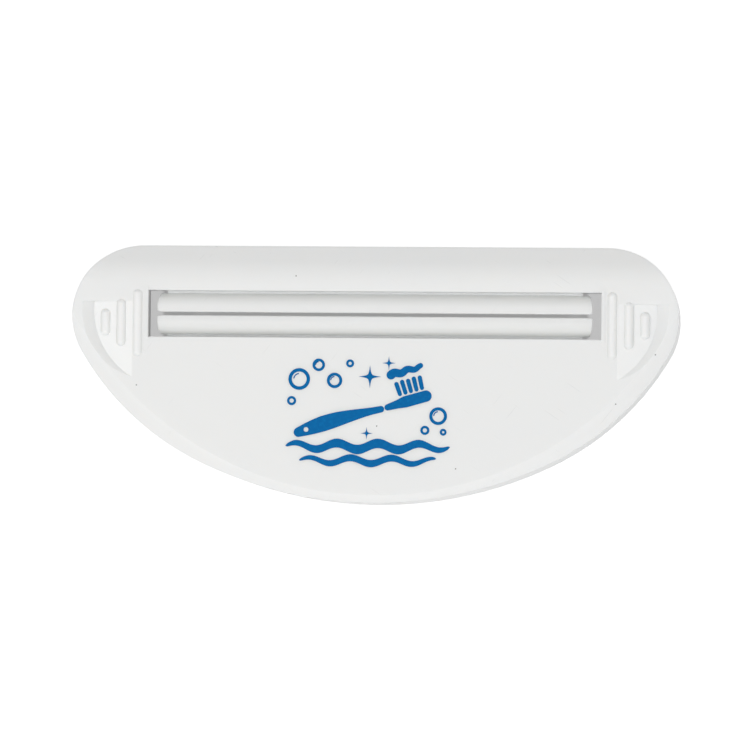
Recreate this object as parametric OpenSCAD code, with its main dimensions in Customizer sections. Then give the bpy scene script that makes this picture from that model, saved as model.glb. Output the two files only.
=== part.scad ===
// Half-moon squeezer for a toothpaste tube, moulded in white plastic.
// It lies on its open back: X runs along the slit, Y across it, Z out of the face.
// The tube's flat tail goes in from the back and comes out between the two lips.
// All sizes are in millimetres.

/* [Outline] */
// Width of the face from end to end
body_w = 106.4; // [103:0.2:112]
// Height of the face from its straight top edge to the lower curve
body_h = 44.9; // [43:0.1:48]
// Depth from the back rim to the face
body_d = 14; // [12:0.5:17]
// Radius of the two top corners in plan
corner_r = 12.4; // [11:0.1:13]
// Radius of each flank, between a top corner and the lower curve
flank_r = 48.4; // [45:0.1:49]
// Draft of the outer wall, so that it spreads towards the back rim
wall_draft = 1.5; // [0.5:0.5:4]

/* [Shell] */
// Thickness of the side wall
wall_t = 1.8; // [1.4:0.1:2.4]
// Thickness of the face
face_t = 2; // [1.8:0.1:2.4]
// Width of the shoulder that falls from the face to the top edge
shoulder_w = 6.6; // [5:0.1:7]
// Slope of the shoulder at the top edge
shoulder_slope = 27; // [15:1:32]
// Radius that blends the shoulder into the face
shoulder_r = 8; // [5:0.5:9]
// Width of the bevel at the lowest point of the curve
bevel_w = 1.3; // [0.8:0.1:2]
// Slope of the bevel along the lower curve
bevel_slope = 17; // [8:1:22]

/* [Window] */
// Width of the window in the face
window_w = 79.4; // [76:0.2:81]
// Height of the window
window_h = 8.2; // [7.8:0.1:9]
// Distance from the top edge down to the middle of the window
window_drop = 12; // [11.8:0.1:13]
// Depth of the collar that stiffens the window behind the face, from the face
collar_depth = 3.4; // [3.2:0.1:6]
// Thickness of the collar
collar_t = 1; // [0.8:0.1:1.2]

/* [Lips] */
// Width of the slit between the lips at rest
slit_w = 0.8; // [0.5:0.1:1.2]
// Gap between each end of a lip and the end of the window
lip_gap = 1.45; // [1.2:0.05:3]
// How much shorter each lip is at its underside, at each end
lip_lean = 0.9; // [0.3:0.1:1.2]
// Width of the flat land along the crown
land_w = 1.35; // [1.1:0.05:1.6]
// How far the crown lies below the face
crown_drop = 0.3; // [0.1:0.1:0.8]
// Slope of each lip, from its land down to its root
lip_slope = 36; // [30:1:42]
// Thickness of a lip at its root
root_t = 1; // [0.8:0.1:1.2]
// Length of each film hinge, from the window's edge to the lip's root
film_l = 0.5; // [0.4:0.1:0.8]
// Thickness of each film hinge
film_t = 0.4; // [0.3:0.05:0.6]

/* [Grips] */
// Flat rim left between the outer edge and each finger dish
grip_rim = 1.8; // [1.4:0.1:2.6]
// Depth of a finger dish at its outer edge
dish_depth = 1.05; // [0.6:0.05:1.2]
// Slope of the dish's curved outer wall
dish_wall_slope = 28; // [20:1:45]
// How far the rib nearest the window stands above the face
rib_proud = 0.5; // [0.4:0.05:0.6]
// Height of the fine bead along each end of the window
bead_h = 0.2; // [0.1:0.05:0.3]

/* [Hidden] */
$fn = 96;

// A length to the nearest thousandth, so that surfaces that should meet do meet
function snap(v) = round(v * 1000) / 1000;

top_y = snap(body_h / 2);
slit_y = top_y - window_drop;

// The outline is one chain of arcs that run into each other without a corner:
// top corner, flank, lower curve, flank, top corner, closed by the straight top.
// The flank starts where the corner has turned by corner_turn, and it may not be
// so flat that no lower curve could follow it.
corner_turn = 30.2;
corner_x = snap(body_w / 2 - corner_r);
corner_y = snap(top_y - corner_r);
flank = snap(min(flank_r, 2 * body_h - 3 * corner_r - 2,
    corner_r + (corner_x - 8) / cos(corner_turn)));
guide_x = corner_x - (flank - corner_r) * cos(corner_turn);
guide_y = corner_y + (flank - corner_r) * sin(corner_turn);
lower_r = snap(top_y + (guide_x * guide_x + guide_y * guide_y - pow(top_y - flank, 2))
    / (2 * (guide_y + top_y - flank)));
lower_y = lower_r - top_y;

// The flank's centre, as far from each neighbour's centre as their radii differ
to_corner = flank - corner_r;
to_lower = lower_r - flank;
apart = norm([corner_x, corner_y - lower_y]);
along = (apart * apart + to_corner * to_corner - to_lower * to_lower) / (2 * apart);
aside = sqrt(to_corner * to_corner - along * along);
unit_x = corner_x / apart;
unit_y = (corner_y - lower_y) / apart;
flank_x = corner_x - along * unit_x + aside * unit_y;
flank_y = corner_y - along * unit_y - aside * unit_x;
corner = [corner_x, corner_y];
middle = [flank_x, flank_y];
to_corner_way = (corner - middle) / to_corner;
to_lower_way = (middle - [0, lower_y]) / to_lower;
far = 4 * body_w;
past_corner = middle + to_corner_way * 2 * flank;
past_flank = middle + to_lower_way * 2 * flank;

// The bevel's inner line is an arc of its own, a little tighter than the lower
// curve, so the bevel is narrow in the middle and widest below the grips.
bevel_r = 0.85 * lower_r;
bevel_y = -top_y + bevel_w + bevel_r;

shoulder_y = top_y - shoulder_w;
lip_l = window_w - 2 * lip_gap;
crown_z = body_d - crown_drop;
root_u = window_h / 2 - film_l;
foot_z = crown_z - (root_u - slit_w / 2 - land_w) * tan(lip_slope);
lip_low_z = foot_z - root_t;

dish_x = window_w / 2 - 0.7;
dish_r = body_w / 2 - grip_rim - dish_x;
dish_y = slit_y + 0.7;
dish_hinge_x = window_w / 2 + 2.8;
dish_fall = atan(dish_depth / (dish_x + dish_r - dish_hinge_x - dish_depth / tan(dish_wall_slope)));

// How far the drafted wall has spread at height z
function spread(z) = snap((body_d - z) * tan(wall_draft));

// A shape drawn in Y and Z, drawn out along X about the middle
module along_x(length) {
    rotate([90, 0, 90])
        linear_extrude(height = length, center = true)
            children();
}

// A drafted disc about one arc's centre, placed by the whole thousandths and then
// by what is left over, so that neighbouring arcs touch as closely as they can
module drafted_disc(x, y, r, z0, z1) {
    translate([snap(x), snap(y), z0])
        translate([x - snap(x), y - snap(y), 0])
            cylinder(h = z1 - z0, r1 = r + spread(z0), r2 = r + spread(z1));
}

// A prism that holds one sector of the plan
module sector(points, z0, z1) {
    translate([0, 0, z0])
        linear_extrude(height = z1 - z0)
            polygon(points);
}

// One half of the half-moon but for its top corner, and still open at the top. The
// plan is cut along the lines through the arcs' centres, and each sector is bounded
// by the disc of its own arc.
module half_of_moon(inset, z0, z1) {
    sector([middle, corner, [corner_x, far], [flank_x, far]], z0, z1);
    intersection() {
        drafted_disc(flank_x, flank_y, flank - inset, z0, z1);
        sector([middle, corner, past_corner, [far, -far], past_flank], z0, z1);
    }
    intersection() {
        drafted_disc(0, lower_y, lower_r - inset, z0, z1);
        sector([middle, past_flank, [0, -far], [0, far], [flank_x, far]], z0, z1);
    }
}

// The rounded top corner
module top_corner(inset, z0, z1) {
    intersection() {
        drafted_disc(corner_x, corner_y, corner_r - inset, z0, z1);
        sector([corner, [corner_x, far], [far, far], past_corner], z0, z1);
    }
}

// The half-moon between two heights, with its edge moved in by inset. A core that
// reaches almost to the edge where two sectors meet makes one body of them.
module half_moon(inset, z0, z1) {
    margin = 0.2;
    core_inset = inset + margin;
    right = [
        [corner_x - margin, far],
        [corner_x - margin, top_y - core_inset],
        [corner_x, top_y - core_inset],
        corner + (corner_r - core_inset) * [sin(20), cos(20)],
        middle + to_corner_way * (flank - core_inset),
        middle + to_lower_way * (flank - core_inset)
    ];
    left = [for (i = [5:-1:0]) [-right[i][0], right[i][1]]];
    intersection() {
        along_x(far)
            polygon([
                [-far, z0],
                [top_y - inset + spread(z0), z0],
                [top_y - inset + spread(z1), z1],
                [-far, z1]
            ]);
        union() {
            half_of_moon(inset, z0, z1);
            mirror([1, 0, 0])
                half_of_moon(inset, z0, z1);
            sector(concat(right, [[0, core_inset - top_y]], left), z0, z1);
        }
    }
    top_corner(inset, z0, z1);
    mirror([1, 0, 0])
        top_corner(inset, z0, z1);
}

// All that lies under the face and its shoulder, moved in by inset. The slope lies
// a hair inside the round's tangent, so that the two cross on a clean line.
module under_face(inset) {
    r = shoulder_r - inset;
    hair = 0.003;
    union() {
        translate([-body_w, -body_h, -body_d])
            cube([2 * body_w, body_h + shoulder_y, 2 * body_d - inset]);
        translate([0, shoulder_y, body_d - shoulder_r]) {
            rotate([0, 90, 0])
                cylinder(h = 2 * body_w, r = r, center = true);
            rotate([-shoulder_slope, 0, 0])
                translate([-body_w, 0, -body_h])
                    cube([2 * body_w, body_h, body_h + r - hair]);
        }
    }
}

// The outside of the shell, before the window and the grips
module outer_form() {
    intersection() {
        half_moon(0, 0, body_d + 1);
        under_face(0);
        translate([0, bevel_y, -1])
            cylinder(
                h = body_d + 3,
                r1 = bevel_r + (body_d + 1) / tan(bevel_slope),
                r2 = bevel_r - 2 / tan(bevel_slope)
            );
    }
}

// The hollow behind the face, open at the back
module hollow() {
    intersection() {
        half_moon(wall_t, -1, body_d);
        under_face(face_t);
    }
}

// A finger dish: its floor falls outwards and its round outer wall rises to the rim
module finger_dish() {
    floor_z = body_d - 2.5;
    intersection() {
        translate([dish_x, dish_y, floor_z])
            cylinder(
                h = 3.5,
                r1 = dish_r - 2.5 / tan(dish_wall_slope),
                r2 = dish_r + 1 / tan(dish_wall_slope)
            );
        translate([dish_hinge_x, dish_y - 20, body_d])
            rotate([0, dish_fall, 0])
                cube([20, 21.4, 6]);
    }
}

// A half-round grip rib along Y, with ball ends, cut off inside the face
module grip_rib(x, y0, y1, width, top_z) {
    round_r = width / 2;
    length = y1 - y0 - width;
    intersection() {
        translate([x, slit_y + y0 + round_r, top_z - round_r])
            rotate([-90, 0, 0])
                rotate_extrude()
                    intersection() {
                        union() {
                            circle(r = round_r);
                            square([round_r, length]);
                            translate([0, length])
                                circle(r = round_r);
                        }
                        translate([0, -width])
                            square([width, length + 2 * width]);
                    }
        translate([x - width, slit_y + y0 - width, body_d - 1.5])
            cube([2 * width, y1 - y0 + 2 * width, 4]);
    }
}

// The three ribs and the fine bead at one end of the window
module grip_ribs() {
    grip_rib(window_w / 2 + 1.9, -7.7, 4.3, 1.9, body_d + rib_proud);
    grip_rib(window_w / 2 + 4.8, -5.8, 2.6, 1.7, body_d + rib_proud - 0.1);
    grip_rib(window_w / 2 + 7.6, -4, 0.8, 1.76, body_d + rib_proud - 0.5);
    translate([window_w / 2, slit_y - window_h / 2 - 0.3, body_d - 1])
        cube([0.6, window_h + 0.9, 1 + bead_h]);
}

// The moulded shell: face, drafted wall, window and its collar, grips, open back
module body_shell() {
    color("#F4F4F2")
        difference() {
            union() {
                difference() {
                    outer_form();
                    hollow();
                    finger_dish();
                    mirror([1, 0, 0])
                        finger_dish();
                }
                translate([
                    -window_w / 2 - collar_t,
                    slit_y - window_h / 2 - collar_t,
                    body_d - collar_depth
                ])
                    cube([window_w + 2 * collar_t, window_h + 2 * collar_t, collar_depth - 1]);
                grip_ribs();
                mirror([1, 0, 0])
                    grip_ribs();
                // Witness of the gate, inside where it doesn't show
                translate([0, -5, body_d - face_t - 0.4])
                    cylinder(h = 1, r = 1.1);
            }
            translate([-window_w / 2, slit_y - window_h / 2, -1])
                cube([window_w, window_h, body_d + 3]);
            // Marks of the ejector pins on the inside of the face
            for (side = [-1, 1]) {
                translate([side * 31, -2, body_d - face_t - 1])
                    cylinder(h = 1.15, r = 2.5);
                translate([side * 14, -12.5, body_d - face_t - 1])
                    cylinder(h = 1.15, r = 2.5);
            }
        }
}

// Points on a quarter circle about a centre, from one angle to another
function arc_points(centre, r, from, to) =
    [for (i = [0:4]) let(a = from + (to - from) * i / 4)
        [centre[0] + r * cos(a), centre[1] + r * sin(a)]];

// One squeeze lip above the slit plane: a bar whose flat land borders the slit and
// whose outside slopes down to its root. Its underside funnels the tube's tail into
// the slit, and the corners at both ends of the slit are round.
module lip() {
    gap = slit_w / 2;
    nose_r = 0.3;
    nose_h = 1;
    end_r = 0.6;
    end_x = lip_l / 2;
    lean_z = crown_z - 2 * nose_r;
    drop = lean_z - lip_low_z;
    translate([0, slit_y, 0])
        intersection() {
            along_x(lip_l + 4)
                polygon(concat(
                    arc_points([gap + nose_r, crown_z - nose_r], nose_r, 180, 90),
                    [
                        [gap + land_w, crown_z],
                        [root_u, foot_z],
                        [root_u, lip_low_z],
                        [root_u - 0.7, lip_low_z],
                        [gap, crown_z - nose_h]
                    ]
                ));
            rotate([90, 0, 0])
                linear_extrude(height = 4 * window_h, center = true)
                    polygon([
                        [-end_x + 2 * lip_lean, lean_z - 2 * drop],
                        [end_x - 2 * lip_lean, lean_z - 2 * drop],
                        [end_x + lip_lean, lean_z + drop],
                        [-end_x - lip_lean, lean_z + drop]
                    ]);
            linear_extrude(height = body_d + 2)
                polygon(concat(
                    arc_points([-end_x + end_r, gap + end_r], end_r, 180, 270),
                    arc_points([end_x - end_r, gap + end_r], end_r, 270, 360),
                    [[end_x, window_h], [-end_x, window_h]]
                ));
        }
}

// The thin web, flush with the lip's foot, that carries a lip and lets it flex
module film_hinge() {
    film_w = lip_l - 4 * lip_lean;
    translate([-film_w / 2, slit_y + root_u, foot_z - film_t])
        cube([film_w, film_l, film_t]);
}

// Turns a piece drawn above the slit plane over to the side below it
module below_slit() {
    translate([0, 2 * slit_y, 0])
        mirror([0, 1, 0])
            children();
}

module upper_lip() {
    color("#F4F4F2")
        lip();
}

module lower_lip() {
    color("#F4F4F2")
        below_slit()
            lip();
}

module upper_film_hinge() {
    color("#ECECEA")
        film_hinge();
}

module lower_film_hinge() {
    color("#ECECEA")
        below_slit()
            film_hinge();
}

body_shell();
upper_lip();
lower_lip();
upper_film_hinge();
lower_film_hinge();
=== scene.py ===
"""A half-moon squeezer for a toothpaste tube: white moulded polypropylene with a
pad-printed design in one blue ink. It lies face up, X along the slit, Y across it
towards the straight edge, Z out of the face. Lengths are in metres."""
import math

import bmesh
import bpy
from mathutils import Matrix, Vector
from mathutils.geometry import tessellate_polygon


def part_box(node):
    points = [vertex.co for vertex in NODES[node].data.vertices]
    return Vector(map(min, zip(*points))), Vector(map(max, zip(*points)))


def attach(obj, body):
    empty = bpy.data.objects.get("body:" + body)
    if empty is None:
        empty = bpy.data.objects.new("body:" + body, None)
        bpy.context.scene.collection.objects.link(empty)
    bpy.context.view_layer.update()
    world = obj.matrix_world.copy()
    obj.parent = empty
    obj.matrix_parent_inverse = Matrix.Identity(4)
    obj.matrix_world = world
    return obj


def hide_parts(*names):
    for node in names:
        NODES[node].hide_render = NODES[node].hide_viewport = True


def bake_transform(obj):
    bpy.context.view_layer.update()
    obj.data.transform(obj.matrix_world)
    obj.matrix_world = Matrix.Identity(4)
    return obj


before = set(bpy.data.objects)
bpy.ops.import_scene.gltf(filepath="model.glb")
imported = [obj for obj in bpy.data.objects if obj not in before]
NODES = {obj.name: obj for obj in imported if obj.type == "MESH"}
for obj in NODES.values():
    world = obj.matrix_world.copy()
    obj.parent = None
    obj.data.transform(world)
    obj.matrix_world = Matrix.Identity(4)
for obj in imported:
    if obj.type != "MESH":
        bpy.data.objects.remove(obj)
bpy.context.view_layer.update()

MM = 0.001

UPPER_LIP_LOW, UPPER_LIP_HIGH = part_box("upper_lip")
LOWER_LIP_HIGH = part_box("lower_lip")[1]

# The face is the flat plane that the lips' crowns lie just under
CROWN_DROP = 0.3 * MM
FACE_Z = UPPER_LIP_HIGH.z + CROWN_DROP
# The middle of the slit, and from there to a lip's nose in millimetres
SLIT_Y = (UPPER_LIP_LOW.y + LOWER_LIP_HIGH.y) / 2
HALF_SLIT = 0.28

# Colours as they read on the real object, and a shade painted on the lips' backs
WHITE_PP = "#F0F0EE"
WHITE_PP_COOL = "#ECEDED"
WORN_PP = "#ECECEA"
WORN_PP_COOL = "#E9EAEA"
HINGE_PP = "#EEEEEC"
SCUFFED_PP = "#D3D4D4"
LIP_ROOT_PAINTED_SHADE = "#DFE0DE"
# Painted shade: the grey that the lips' backs go to towards their roots, where the window's walls
# shade them
BLACK_SPECK = "#908E8A"
BLUE_INK = "#0065A4"
BLUE_INK_THIN = "#006FAF"

# The paper as it throws light back, and as it is seen: its shaded colour and the
# light of its own in the open, lowered under the slit and under the gaps at the lips' ends to
# paint the shade of the hollow there
FLOOR_PAPER = "#B4B4B4"
PAPER_SEEN = "#C8C8C8"
PAPER_LIFT = 0.68
PAPER_LIFT_SHADE_PAINTED_IN_SLIT = 0.285
PAPER_LIFT_SHADE_PAINTED_IN_GAP = 0.485
# The part of the paper that the slit shows: the middle of it and half its length
SLIT_SHOWS_X = -0.8 * MM
SLIT_SHOWS_TO = 38.2 * MM
FLOOR_HALF = 1.5
FLOOR_DROP = 0.02 * MM
ROOM_LIGHT = 0.52

# View of the photograph: its frame, the eye, and the spot on the face it looks at
PICTURE_PX = 750
MM_PER_PX = 0.1743
EYE_OFFSET = Vector((50 * MM, -24 * MM, 749 * MM))
LOOK_AT = Vector((0.28 * MM, -0.1 * MM, 0))
ROLL_DEG = 0.58
SENSOR_MM = 36

# The print: its middle on the face, the dry ink's thickness, its skirt in the face
PRINT_AT = Vector((-0.9 * MM, -6.3 * MM))
INK_T = 0.015 * MM
INK_BITE = 0.02 * MM

# Sockets of the colour mix node, which shares its names between number and colour
MIX_A, MIX_B, MIX_RESULT = 6, 7, 2


def linear(hex_colour):
    """An sRGB hex colour as the linear colour that the shaders take."""
    channels = [int(hex_colour[i:i + 2], 16) / 255 for i in (1, 3, 5)]
    steps = [c / 12.92 if c <= 0.04045 else ((c + 0.055) / 1.055) ** 2.4 for c in channels]
    return (*steps, 1)


def add_node(tree, kind, inputs=None, **settings):
    """Adds one node with its settings. inputs gives each input socket, by name or by
    number, either a value or the output socket that feeds it."""
    node = tree.nodes.new(kind)
    for name, value in settings.items():
        setattr(node, name, value)
    for key, value in (inputs or {}).items():
        if isinstance(value, bpy.types.NodeSocket):
            tree.links.new(value, node.inputs[key])
        else:
            node.inputs[key].default_value = value
    return node


def calc(tree, operation, *values):
    """One step of arithmetic on numbers or on the outputs of other nodes."""
    return add_node(tree, "ShaderNodeMath", dict(enumerate(values)),
                    operation=operation).outputs[0]


def new_material(name):
    """An empty material and its node tree."""
    material = bpy.data.materials.new(name)
    material.use_nodes = True
    material.node_tree.nodes.clear()
    return material, material.node_tree


def noise(tree, place, size, detail):
    """Cloudy noise between 0 and 1 whose blots are about size across."""
    return add_node(tree, "ShaderNodeTexNoise", {
        "Vector": place, "Scale": 1 / size, "Detail": detail,
    }).outputs["Fac"]


def mix(tree, share, first, second):
    """Blends two colours: all first at share 0, all second at share 1."""
    return add_node(tree, "ShaderNodeMix", {0: share, MIX_A: first, MIX_B: second},
                    data_type="RGBA").outputs[MIX_RESULT]


def ramp(tree, value, low, high, to_low=0.0, to_high=1.0):
    """Carries a value from one range to another, clamped at both ends."""
    return add_node(tree, "ShaderNodeMapRange", {
        "Value": value, "From Min": low, "From Max": high, "To Min": to_low, "To Max": to_high,
    }).outputs["Result"]


def hairlines(tree, place, turn_deg, shift, low):
    """Scarce straight hairlines in one direction, each some 6 mm long and 0.1 mm wide.
    They show where the noise is above low."""
    long, wide, deep, fade = 6 * MM, 0.22 * MM, 0.7 * MM, 0.05
    turned_place = add_node(tree, "ShaderNodeMapping", {
        "Vector": place, "Rotation": (0, 0, math.radians(turn_deg)),
        "Location": (shift * MM, 0, 0),
    }).outputs["Vector"]
    stretched = add_node(tree, "ShaderNodeMapping", {
        "Vector": turned_place, "Scale": (1 / long, 1 / wide, 1 / deep),
    }).outputs["Vector"]
    return ramp(tree, noise(tree, stretched, 1.0, 0.0), low, low + fade)


def specks(tree, place):
    """1 on the dark grains in the skin, 0 elsewhere. The plan is parted into cells
    7 mm across, and one cell in ten holds a grain 0.24 mm across."""
    cell, grain_r, share = 7, 0.12, 0.1
    cells = add_node(tree, "ShaderNodeTexVoronoi", {
        "Vector": place, "Scale": 1 / (cell * MM),
    }, voronoi_dimensions="2D").outputs
    draw = add_node(tree, "ShaderNodeSeparateColor", {"Color": cells["Color"]}).outputs["Red"]
    grain_here = calc(tree, "LESS_THAN", cells["Distance"], grain_r / cell)
    return calc(tree, "MULTIPLY", grain_here, calc(tree, "LESS_THAN", draw, share))


def away_from_slit(tree, place, near, far):
    """0 up to near from the middle of the slit, 1 from far outwards."""
    across = add_node(tree, "ShaderNodeSeparateXYZ", {"Vector": place}).outputs["Y"]
    reach = calc(tree, "ABSOLUTE", calc(tree, "SUBTRACT", across, SLIT_Y))
    return ramp(tree, reach, near, far)


def moulded_polypropylene(name, colour, colour_shade, roughness, root_shade=None):
    """White polypropylene from a polished mould. The eye sees a satin gloss over a
    slightly milky body, a very fine unevenness of flow, and hair-fine scuffs. The last
    argument, if given, is a painted shade: the colour the lips' backs go to towards the film
    hinges."""
    material, tree = new_material(name)
    place = add_node(tree, "ShaderNodeTexCoord").outputs["Object"]
    # Flow marks of the melt, about 30 mm across, only just told from the rest
    flow = noise(tree, place, 30 * MM, 2.0)
    tint = mix(tree, flow, linear(colour), linear(colour_shade))
    # Scuffs of use: two sets of hairlines that cross, a little greyer and duller
    scuffs = calc(tree, "MAXIMUM", hairlines(tree, place, 34, 3, 0.83),
                  hairlines(tree, place, -52, 17, 0.835))
    tint = mix(tree, ramp(tree, scuffs, 0, 1, 0, 0.35), tint, linear(SCUFFED_PP))
    tint = mix(tree, specks(tree, place), tint, linear(BLACK_SPECK))
    # Painted shade: the lips' backs darken from the land out to the roots, the shade of the
    # groove by the window's walls
    if root_shade:
        root_shade_share = away_from_slit(tree, place, 1.5 * MM, 3.3 * MM)
        tint = mix(tree, root_shade_share, tint, linear(root_shade))
    # Sink and ripple of the cooled skin, about 12 mm across and microns deep
    ripple_bump = add_node(tree, "ShaderNodeBump", {
        "Height": noise(tree, place, 12 * MM, 1.0), "Strength": 0.25, "Distance": 0.02 * MM,
    }).outputs["Normal"]
    # Grain of the polished steel, 0.25 mm, left in the gloss
    grain_bump = add_node(tree, "ShaderNodeBump", {
        "Height": noise(tree, place, 0.25 * MM, 3.0), "Normal": ripple_bump,
        "Strength": 0.08, "Distance": 0.01 * MM,
    }).outputs["Normal"]
    # The polish varies with the flow, and a scuff is duller
    polish = ramp(tree, flow, 0, 1, roughness - 0.03, roughness + 0.04)
    dulled = calc(tree, "MULTIPLY_ADD", scuffs, 0.2, polish)
    skin = add_node(tree, "ShaderNodeBsdfPrincipled", {
        "Base Color": tint, "Roughness": dulled, "Normal": grain_bump, "IOR": 1.49,
        "Subsurface Weight": 0.6, "Subsurface Scale": 1.4 * MM,
        "Subsurface Radius": (1.0, 0.95, 0.9),
    })
    add_node(tree, "ShaderNodeOutputMaterial", {"Surface": skin.outputs["BSDF"]})
    return material


def pad_printing_ink(name, colour, colour_thin):
    """Opaque ink laid by a silicone pad: even, a little duller than the plastic, with
    a faint mottle where the film is thinner."""
    material, tree = new_material(name)
    place = add_node(tree, "ShaderNodeTexCoord").outputs["Object"]
    mottle = noise(tree, place, 0.7 * MM, 3.0)
    thin = ramp(tree, mottle, 0.45, 0.75)
    tint = mix(tree, thin, linear(colour), linear(colour_thin))
    peel = add_node(tree, "ShaderNodeBump", {
        "Height": mottle, "Strength": 0.15, "Distance": 0.01 * MM,
    }).outputs["Normal"]
    skin = add_node(tree, "ShaderNodeBsdfPrincipled", {
        "Base Color": tint, "Roughness": ramp(tree, mottle, 0, 1, 0.3, 0.42), "Normal": peel,
        "IOR": 1.5, "Specular IOR Level": 0.08,
    })
    add_node(tree, "ShaderNodeOutputMaterial", {"Surface": skin.outputs["BSDF"]})
    return material


def shows_backdrop(tree):
    """1 for the rays that show the backdrop, straight, mirrored or through a clear
    body, and 0 for the rays that carry light to a surface."""
    path = add_node(tree, "ShaderNodeLightPath").outputs
    share = path["Is Camera Ray"]
    for kind in ("Is Glossy Ray", "Is Transmission Ray"):
        share = calc(tree, "MAXIMUM", share, path[kind])
    return share


def paper_lift_and_painted_shade(tree):
    """How strongly the paper lightens itself: fully in the open, and less under the
    window and least under the slit, which paints the shade of the hollow there."""
    edge, cover = 0.6 * MM, 1 * MM
    past_ends, past_sides = SLIT_SHOWS_TO + 5 * MM, 6 * MM
    place = add_node(tree, "ShaderNodeTexCoord").outputs["Object"]
    across = add_node(tree, "ShaderNodeSeparateXYZ", {"Vector": place}).outputs
    outward = calc(tree, "ABSOLUTE", calc(tree, "SUBTRACT", across["X"], SLIT_SHOWS_X))
    # Painted shade: least light of its own under the slit, a little more under the gaps at the
    # lips' ends
    shade_painted_under_window = ramp(tree, outward, SLIT_SHOWS_TO - edge, SLIT_SHOWS_TO,
                        PAPER_LIFT_SHADE_PAINTED_IN_SLIT, PAPER_LIFT_SHADE_PAINTED_IN_GAP)
    beside = ramp(tree, outward, past_ends, past_ends + 2 * cover)
    beyond = away_from_slit(tree, place, past_sides, past_sides + cover)
    return ramp(tree, calc(tree, "MAXIMUM", beside, beyond), 0, 1, shade_painted_under_window, PAPER_LIFT)


def backdrop_paper():
    """Seamless white paper. The camera sees it as plain white with the squeezer's own
    soft shadow, so part of that white is light of its own, lowered under the window as painted
    shade. Other rays see real paper."""
    material, tree = new_material("seamless paper, white")
    paper, shaded = (
        add_node(tree, "ShaderNodeBsdfDiffuse", {"Color": linear(colour)}).outputs["BSDF"]
        for colour in (FLOOR_PAPER, PAPER_SEEN)
    )
    # Light of its own, lowered under the window and the slit: painted shade
    glow = add_node(tree, "ShaderNodeEmission", {
        "Strength": paper_lift_and_painted_shade(tree),
    }).outputs["Emission"]
    white = add_node(tree, "ShaderNodeAddShader", {0: shaded, 1: glow}).outputs["Shader"]
    both = add_node(tree, "ShaderNodeMixShader", {
        0: shows_backdrop(tree), 1: paper, 2: white,
    }).outputs["Shader"]
    # From underneath the sheet is left out, so that the open back can be looked at
    under = add_node(tree, "ShaderNodeNewGeometry").outputs["Backfacing"]
    clear = add_node(tree, "ShaderNodeBsdfTransparent").outputs["BSDF"]
    sheet = add_node(tree, "ShaderNodeMixShader", {0: under, 1: both, 2: clear}).outputs["Shader"]
    add_node(tree, "ShaderNodeOutputMaterial", {"Surface": sheet})
    return material


def link_mesh(name, bm, material):
    """Makes a scene object of a finished bmesh and frees it."""
    bmesh.ops.recalc_face_normals(bm, faces=bm.faces)
    mesh = bpy.data.meshes.new(name)
    bm.to_mesh(mesh)
    bm.free()
    mesh.materials.append(material)
    obj = bpy.data.objects.new(name, mesh)
    bpy.context.scene.collection.objects.link(obj)
    return obj


def tube(bm, rows):
    """Skins rows of vertices, each a closed loop, from the first to the last and
    closes both ends."""
    count = len(rows[0])
    for near, far in zip(rows, rows[1:]):
        for i in range(count):
            j = (i + 1) % count
            bm.faces.new((near[i], near[j], far[j], far[i]))
    for row in (rows[0], rows[-1]):
        bm.faces.new(row)


def arc(x, y, r, from_deg, to_deg, steps=6):
    """Points on an arc in the plane, both ends included."""
    return [(x + r * math.cos(math.radians(from_deg + (to_deg - from_deg) * i / steps)),
             y + r * math.sin(math.radians(from_deg + (to_deg - from_deg) * i / steps)))
            for i in range(steps + 1)]


def lip_profile(root, crown, low):
    """Section of a lip across the slit, in millimetres from the slit's middle and
    above the rim: nose, land, a back that rounds down to the root, and underside."""
    nose_r, foot_r, throat_r = 0.25, 0.12, 0.1
    land_end, knee_out, root_drop = 1.45, 2.95, 1.34
    foot_w, throat_drop, back_steps = 0.7, 0.95, 14
    root_top = crown - root_drop
    points = arc(HALF_SLIT + nose_r, crown - nose_r, nose_r, 180, 90)
    # The back is a quadratic curve from the land's edge past a knee to the root
    start, knee, end = (land_end, crown), (knee_out, crown - 0.05), (root - 0.05, root_top + 0.05)
    for i in range(back_steps + 1):
        s = i / back_steps
        points.append(tuple((1 - s) ** 2 * a + 2 * s * (1 - s) * k + s * s * e
                            for a, k, e in zip(start, knee, end)))
    points.append((root, root_top - 0.02))
    points += arc(root - foot_r, low + foot_r, foot_r, 0, -90, 3)
    points += arc(root - foot_w + foot_r, low + foot_r, foot_r, -90, -130, 3)
    points += arc(HALF_SLIT + throat_r, crown - throat_drop, throat_r, 230, 180, 3)
    return points


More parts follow.
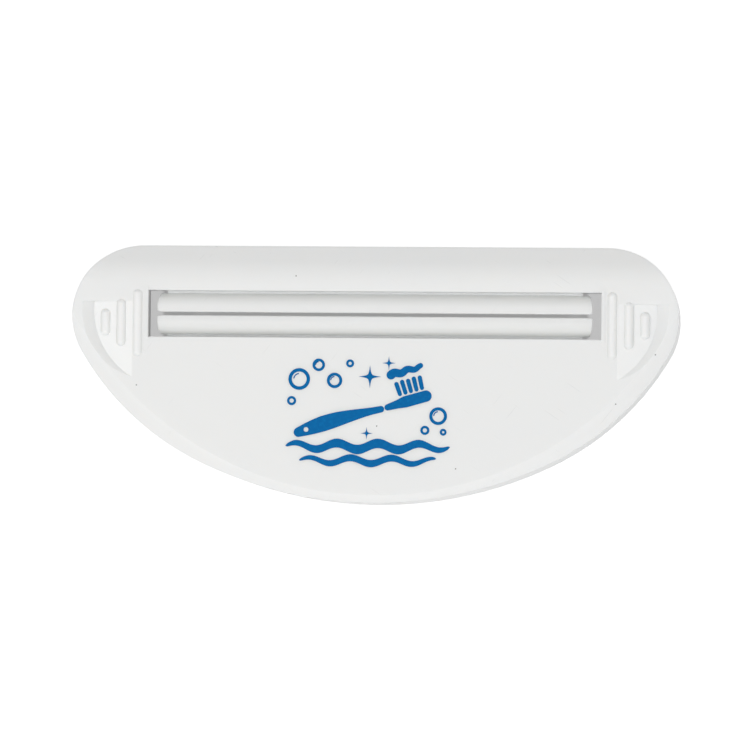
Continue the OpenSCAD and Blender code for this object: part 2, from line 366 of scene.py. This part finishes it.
def squeeze_lip(name, node, side, material):
    """One lip as moulded: it rounds down from the land to its film hinge, and its ends
    are rounded all about. side is +1 above the slit and -1 below it."""
    low_corner, high_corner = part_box(node)
    length, crown, low = high_corner.x / MM, high_corner.z / MM, low_corner.z / MM
    root = max(abs(high_corner.y - SLIT_Y), abs(low_corner.y - SLIT_Y)) / MM
    profile = lip_profile(root, crown, low)
    middle = Vector([sum(p[k] for p in profile) / len(profile) for k in (0, 1)])
    # Rounding of the end, and of its corner at the slit. Lean of the end underneath
    end_round, plan_round, lean = 0.28, 0.6, 0.9
    # Places along the lip, each with how far the section is drawn in there
    stations = [(length - back, 0.0) for back in (2.2, 1.0, 0.6)]
    stations += [(length - end_round + end_round * math.sin(math.radians(a)),
                  end_round * (1 - math.cos(math.radians(a)))) for a in range(0, 91, 15)]
    stations = [(-x, inset) for x, inset in stations[::-1]] + stations
    bm = bmesh.new()
    rows = []
    for x, inset in stations:
        row = []
        near_end = max(0.0, plan_round - (length - abs(x)))
        nose_u = HALF_SLIT + plan_round - math.sqrt(plan_round ** 2 - near_end ** 2)
        for u, z in profile:
            way = Vector((u, z)) - middle
            pulled = middle + way * (1 - inset / way.length)
            u_here = max(pulled.x, nose_u)
            x_here = x * (1 - lean * (crown - pulled.y) / ((crown - low) * length))
            row.append(bm.verts.new((x_here * MM, SLIT_Y + side * u_here * MM, pulled.y * MM)))
        rows.append(row)
    tube(bm, rows)
    for face in bm.faces:
        face.smooth = True
    obj = link_mesh(name, bm, material)
    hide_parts(node)
    return obj


def film_hinge(name, node, side, material):
    """The thin web between a lip's root and the window's edge. Its top runs into the
    edge with a fillet."""
    low_corner, high_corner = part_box(node)
    length, top, low = high_corner.x / MM, high_corner.z / MM, low_corner.z / MM
    root, edge = sorted(abs(y - SLIT_Y) / MM for y in (low_corner.y, high_corner.y))
    # The fillet's radius, and how far the web reaches into the lip and into the edge
    fillet, in_lip, in_edge, steps = 0.42, 0.08, 0.1, 24
    profile = [(root - in_lip, low + 0.05), (root - in_lip, top)]
    profile += [(edge - fillet + fillet * math.sin(math.radians(a)),
                 top + fillet * (1 - math.cos(math.radians(a)))) for a in range(0, 91, 15)]
    profile += [(edge + in_edge, top + fillet), (edge + in_edge, low), (edge, low), (root, low)]
    bm = bmesh.new()
    tube(bm, [[bm.verts.new((x * MM, SLIT_Y + side * u * MM, z * MM)) for u, z in profile]
              for x in (-length + 2 * length * i / steps for i in range(steps + 1))])
    obj = link_mesh(name, bm, material)
    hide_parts(node)
    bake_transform(obj)
    return obj


def circle(x, y, r, steps=56):
    """Points on a full circle."""
    return [(x + r * math.cos(a), y + r * math.sin(a))
            for a in (2 * math.pi * i / steps for i in range(steps))]


def ring(x, y, r, thickness):
    """A circle and the hole in it."""
    return [circle(x, y, r), circle(x, y, r - thickness)]


def stroke(points, widths):
    """The outline of a stroke along points, as wide as widths say, with round ends."""
    spine = [Vector(p) for p in points]
    sides = []
    for i, p in enumerate(spine):
        way = (spine[min(i + 1, len(spine) - 1)] - spine[max(i - 1, 0)]).normalized()
        sides.append(Vector((-way.y, way.x)) * widths[i] / 2)
    left = [p + s for p, s in zip(spine, sides)]
    right = [p - s for p, s in zip(spine, sides)]

    def cap(centre, arm, steps=10):
        turn = [Matrix.Rotation(-math.pi * k / steps, 2) @ arm for k in range(1, steps)]
        return [centre + t for t in turn]

    outline = left + cap(spine[-1], sides[-1]) + right[::-1] + cap(spine[0], -sides[0])
    return [tuple(p) for p in outline]


def sparkle(x, y, r):
    """A four-pointed glint with hollow sides."""
    steps, hollow, taper = 64, 2.6, 0.8
    points = []
    for i in range(steps):
        a = 2 * math.pi * i / steps
        reach = r / (1 + hollow * abs(math.sin(2 * a)) ** taper)
        points.append((x + reach * math.cos(a), y + reach * math.sin(a)))
    return points


def wave(x0, x1, y, height, length, thickness):
    """A band that swells like water and thins out to both ends."""
    steps, taper, half_tip = 90, 0.35, 0.04
    top, bottom = [], []
    for i in range(steps + 1):
        t = i / steps
        x = x0 + (x1 - x0) * t
        middle = y + height * math.sin(2 * math.pi * (x - x0) / length)
        half = thickness / 2 * math.sin(math.pi * t) ** taper + half_tip
        top.append((x, middle + half))
        bottom.append((x, middle - half))
    return top + bottom[::-1]


def turned(loop, angle_deg, x, y):
    """A loop turned about the origin and then moved."""
    turn = Matrix.Rotation(math.radians(angle_deg), 2)
    return [tuple(turn @ Vector(p) + Vector((x, y))) for p in loop]


def toothbrush(angle_deg, x, y):
    """A brush 24 mm long, lying along X before it is turned: handle, neck, head,
    five tufts and the ribbon of paste on them."""
    handle_widths = [1.7, 2.2, 2.55, 2.75, 2.7, 2.5, 2.2, 1.85, 1.5, 1.25, 1.15]
    handle_end, handle_step, handle_arch = -12.0, 1.5, 0.35
    handle = stroke([(handle_end + handle_step * i, handle_arch * math.sin(i / 10 * math.pi))
                     for i in range(len(handle_widths))], handle_widths)
    hanging_hole = circle(-10.6, 0.1, 0.42)
    head = stroke([(4.2, 0.0), (6.0, 0.05), (7.4, 0.1), (11.2, 0.1)], [1.1, 1.5, 2.0, 2.0])
    shapes = [[handle, hanging_hole], [head]]
    # Tufts that fan out a little and are cut in two lengths
    first_tuft, tuft_step, fan, tuft_foot, tuft_top = 6.9, 1.0, 0.06, 1.65, 3.5
    for i in range(5):
        foot = first_tuft + i * tuft_step
        tip = (foot + fan * (i - 2), tuft_top + 0.1 * (i % 2))
        shapes.append([stroke([(foot, tuft_foot), tip], [0.72, 0.76])])
    # The ribbon of paste rolls along the tufts and thins towards its end
    paste_x, paste_y, paste_step, paste_w = 6.3, 5.3, 0.2, 1.6
    roll, turn, thinning = 0.2, 0.52, 0.025
    ribbon = [(paste_x + paste_step * i, paste_y + roll * math.sin(i * turn)) for i in range(28)]
    shapes.append([stroke(ribbon, [paste_w - thinning * i for i in range(28)])])
    return [[turned(loop, angle_deg, x, y) for loop in shape] for shape in shapes]


def bubble(x, y, r):
    """A ring, and in a large bubble the short curve of light at its upper left."""
    shapes = [ring(x, y, r, 0.3 + 0.16 * r)]
    if r > 0.9:
        glint = arc(x, y, 0.5 * r, 100, 170, 7)
        shapes.append([stroke(glint, [0.2] * len(glint))])
    return shapes


def ink_film(name, shapes, material):
    """One printed piece. Each shape is an outline, then its holes, in millimetres
    about the middle of the print. The film is laid on the face with its skirt in it."""
    bm = bmesh.new()
    for shape in shapes:
        loops = [[Vector((px * MM + PRINT_AT.x, py * MM + PRINT_AT.y, 0)) for px, py in loop]
                 for loop in shape]
        flat = [p for loop in loops for p in loop]
        top = [bm.verts.new((p.x, p.y, FACE_Z + INK_T)) for p in flat]
        foot = [bm.verts.new((p.x, p.y, FACE_Z - INK_BITE)) for p in flat]
        for a, b, c in tessellate_polygon(loops):
            bm.faces.new((top[a], top[b], top[c]))
            bm.faces.new((foot[c], foot[b], foot[a]))
        start = 0
        for loop in loops:
            for i in range(len(loop)):
                here, after = start + i, start + (i + 1) % len(loop)
                bm.faces.new((top[here], foot[here], foot[after], top[after]))
            start += len(loop)
    return link_mesh(name, bm, material)


def look_towards(obj, target, roll=0.0):
    """Points a camera or lamp at a target, with the object's +Y kept upright."""
    back = (obj.location - Vector(target)).normalized()
    right = Vector((0, 1, 0)).cross(back).normalized()
    up = back.cross(right)
    turn = Matrix((right, up, back)).transposed().to_4x4()
    obj.matrix_world = Matrix.Translation(obj.location) @ turn @ Matrix.Rotation(roll, 4, "Z")


def soft_lamp(name, place, size, power):
    """A rectangular lamp that shines on the squeezer. place and size are in metres."""
    lamp = bpy.data.lights.new(name, "AREA")
    lamp.shape = "RECTANGLE"
    lamp.size, lamp.size_y = size
    lamp.energy = power
    obj = bpy.data.objects.new(name, lamp)
    bpy.context.scene.collection.objects.link(obj)
    obj.location = Vector(place)
    look_towards(obj, (0, 0, 0))


shell_pp = moulded_polypropylene("polypropylene, polished mould",
                                 WHITE_PP, WHITE_PP_COOL, 0.31)
# The lips carry a painted shade towards their roots
lip_pp = moulded_polypropylene("polypropylene lips, polished mould",
                               WORN_PP, WORN_PP_COOL, 0.42, LIP_ROOT_PAINTED_SHADE)
hinge_pp = moulded_polypropylene("polypropylene film, thin",
                                 HINGE_PP, WHITE_PP_COOL, 0.35)
blue_ink = pad_printing_ink("pad-printing ink, blue", BLUE_INK, BLUE_INK_THIN)

shell_materials = NODES["body_shell"].data.materials
shell_materials.clear()
shell_materials.append(shell_pp)

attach(squeeze_lip("upper_lip_moulded", "upper_lip", 1, lip_pp), "upper_lip_body")
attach(squeeze_lip("lower_lip_moulded", "lower_lip", -1, lip_pp), "lower_lip_body")
film_hinge("upper_film_moulded", "upper_film_hinge", 1, hinge_pp)
film_hinge("lower_film_moulded", "lower_film_hinge", -1, hinge_pp)

# The print: a brush with paste over two swells of water, bubbles and glints
print_shapes = toothbrush(16, -0.6, -0.6)
for bubble_x, bubble_y, bubble_r in (
    (-12.1, 5.4, 1.9), (-8.7, 7.9, 1.1), (-5.9, 5.2, 1.35), (-13.4, 1.6, 0.8),
    (12.3, -0.9, 1.55), (10.0, -3.4, 0.8), (13.2, -3.7, 0.6), (-3.2, 8.2, 0.7),
):
    print_shapes += bubble(bubble_x, bubble_y, bubble_r)
print_shapes += [
    [sparkle(0.3, 5.9, 2.0)], [sparkle(3.6, 8.3, 1.2)], [sparkle(-0.2, -4.0, 1.1)],
    [wave(-14.4, 14.4, -6.3, 0.55, 7.2, 1.6)], [wave(-12.0, 12.0, -8.8, 0.5, 7.2, 1.2)],
]
print_ink = ink_film("print_ink", print_shapes, blue_ink)
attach(print_ink, "shell")

# Floor: one square, a hair below the rim so that the two don't share a plane
floor_mesh = bpy.data.meshes.new("floor")
floor_mesh.from_pydata([(x * FLOOR_HALF, y * FLOOR_HALF, 0)
                        for x, y in ((-1, -1), (1, -1), (1, 1), (-1, 1))], [], [(0, 1, 2, 3)])
floor = bpy.data.objects.new("floor", floor_mesh)
bpy.context.scene.collection.objects.link(floor)
floor_mesh.materials.append(backdrop_paper())
floor.location.z = -FLOOR_DROP

# Camera: the lens gives the face the photograph's scale
camera_data = bpy.data.cameras.new("camera")
camera = bpy.data.objects.new("camera", camera_data)
bpy.context.scene.collection.objects.link(camera)
camera.location = EYE_OFFSET
look_towards(camera, LOOK_AT + Vector((0, 0, FACE_Z)), math.radians(ROLL_DEG))
camera_data.sensor_width = SENSOR_MM
camera_data.lens = SENSOR_MM * (EYE_OFFSET.z - FACE_Z) / (PICTURE_PX * MM_PER_PX * MM)
camera_data.clip_start = 10 * MM
bpy.context.scene.camera = camera

# Lamps: one broad and low for the body of light, two tall ones whose images run down
# the finger dishes and the ribs
soft_lamp("lamp_low_front", (0.0, -0.45, 0.78), (1.0, 0.62), 2.2)
soft_lamp("lamp_strip_left", (-0.43, -0.02, 0.76), (0.14, 0.34), 1.15)
soft_lamp("lamp_strip_right", (0.26, -0.02, 0.77), (0.1, 0.34), 0.73)

# The room: an even light, and white where it is seen
world = bpy.data.worlds.new("studio")
world.use_nodes = True
world.node_tree.nodes.clear()
room_strength = ramp(world.node_tree, shows_backdrop(world.node_tree), 0, 1, ROOM_LIGHT, 1)
room = add_node(world.node_tree, "ShaderNodeBackground", {
    "Color": (1, 1, 1, 1), "Strength": room_strength,
})
add_node(world.node_tree, "ShaderNodeOutputWorld", {"Surface": room.outputs["Background"]})
bpy.context.scene.world = world

bpy.context.scene.view_settings.view_transform = "Standard"
